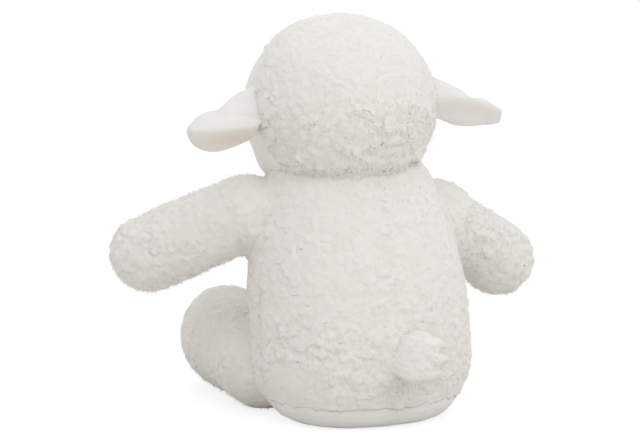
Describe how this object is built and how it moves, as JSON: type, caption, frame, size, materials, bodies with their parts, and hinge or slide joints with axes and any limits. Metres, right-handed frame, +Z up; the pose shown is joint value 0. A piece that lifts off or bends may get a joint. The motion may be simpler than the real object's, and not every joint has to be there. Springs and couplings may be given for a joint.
{
  "type": "plush sheep",
  "caption": "Sitting stuffed sheep in curly wool fabric with smooth face and ears, weighted seat, and head, arms, legs, ears and tail that turn on their seams.",
  "frame": {"origin": "middle of the flat seat, on the surface that the sheep sits on", "axes": "+X to the sheep's left, -Y the way it faces, +Z up"},
  "size_m": [0.3204, 0.246, 0.2805],
  "materials": {
    "curly_wool": "matte",
    "white_velour": "matte",
    "cream_velour": "matte",
    "fibre_stuffing": "matte",
    "pouch_cotton": "matte",
    "eye_gloss": "gloss",
    "washer_plastic": "satin",
    "nose_thread": "satin"
  },
  "bodies": {
    "torso": {"torso_back_left": "curly_wool", "torso_back_right": "curly_wool", "torso_front": "curly_wool", "torso_seat": "white_velour", "torso_stuffing": "fibre_stuffing", "pellet_pouch": "pouch_cotton"},
    "neck": {"neck_wad": "fibre_stuffing"},
    "head": {"head_wool_left": "curly_wool", "head_wool_right": "curly_wool", "head_face": "white_velour", "head_stuffing": "fibre_stuffing", "eye_left": "eye_gloss", "eye_right": "eye_gloss", "eye_washer_left": "washer_plastic", "eye_washer_right": "washer_plastic", "nose_stitching": "nose_thread", "mouth_stitching": "nose_thread"},
    "ear_left": {"ear_left_back": "white_velour", "ear_left_lining": "cream_velour"},
    "ear_right": {"ear_right_back": "white_velour", "ear_right_lining": "cream_velour"},
    "arm_left": {"arm_left_outer": "curly_wool", "arm_left_inner": "curly_wool", "arm_left_stuffing": "fibre_stuffing"},
    "arm_right": {"arm_right_outer": "curly_wool", "arm_right_inner": "curly_wool", "arm_right_stuffing": "fibre_stuffing"},
    "leg_left": {"leg_left_outer": "curly_wool", "leg_left_inner": "curly_wool", "leg_left_sole": "white_velour", "leg_left_stuffing": "fibre_stuffing"},
    "leg_right": {"leg_right_outer": "curly_wool", "leg_right_inner": "curly_wool", "leg_right_sole": "white_velour", "leg_right_stuffing": "fibre_stuffing"},
    "tail": {"tail_left": "curly_wool", "tail_right": "curly_wool"}
  },
  "joints": [
    {"name": "neck_turn", "type": "hinge", "parent": "torso", "child": "neck", "pos_m": [0.011, -0.018, 0.2165], "axis": [0, 0, 1], "range_deg": [-30, 30], "stiffness_Nm_per_rad": 0.5},
    {"name": "head_nod", "type": "hinge", "parent": "neck", "child": "head", "pos_m": [0.011, -0.018, 0.2165], "axis": [1, 0, 0], "range_deg": [-15, 6], "stiffness_Nm_per_rad": 0.6},
    {"name": "ear_left_swing", "type": "hinge", "parent": "head", "child": "ear_left", "pos_m": [0.07867, -0.00655, 0.2196], "axis": [0, 0.2924, -0.9563], "range_deg": [-15, 25], "stiffness_Nm_per_rad": 0.02},
    {"name": "ear_right_swing", "type": "hinge", "parent": "head", "child": "ear_right", "pos_m": [-0.05667, -0.00655, 0.2196], "axis": [0, -0.2924, 0.9563], "range_deg": [-15, 25], "stiffness_Nm_per_rad": 0.02},
    {"name": "arm_left_raise", "type": "hinge", "parent": "torso", "child": "arm_left", "pos_m": [0.0775, -0.025, 0.144], "axis": [-0.5592, -0.829, 0], "range_deg": [-6, 35], "stiffness_Nm_per_rad": 0.4},
    {"name": "arm_right_raise", "type": "hinge", "parent": "torso", "child": "arm_right", "pos_m": [-0.0685, -0.025, 0.1395], "axis": [-0.4067, 0.9135, 0], "range_deg": [-6, 35], "stiffness_Nm_per_rad": 0.4},
    {"name": "leg_left_swing", "type": "hinge", "parent": "torso", "child": "leg_left", "pos_m": [0.058, -0.042, 0.0335], "axis": [0, 0, 1], "range_deg": [-12, 20], "stiffness_Nm_per_rad": 0.4},
    {"name": "leg_right_swing", "type": "hinge", "parent": "torso", "child": "leg_right", "pos_m": [-0.058, -0.042, 0.0335], "axis": [0, 0, -1], "range_deg": [-12, 20], "stiffness_Nm_per_rad": 0.4},
    {"name": "tail_wag", "type": "hinge", "parent": "torso", "child": "tail", "pos_m": [0.00096, 0.06413, 0.055], "axis": [0, 0, 1], "range_deg": [-30, 15], "stiffness_Nm_per_rad": 0.02}
  ]
}
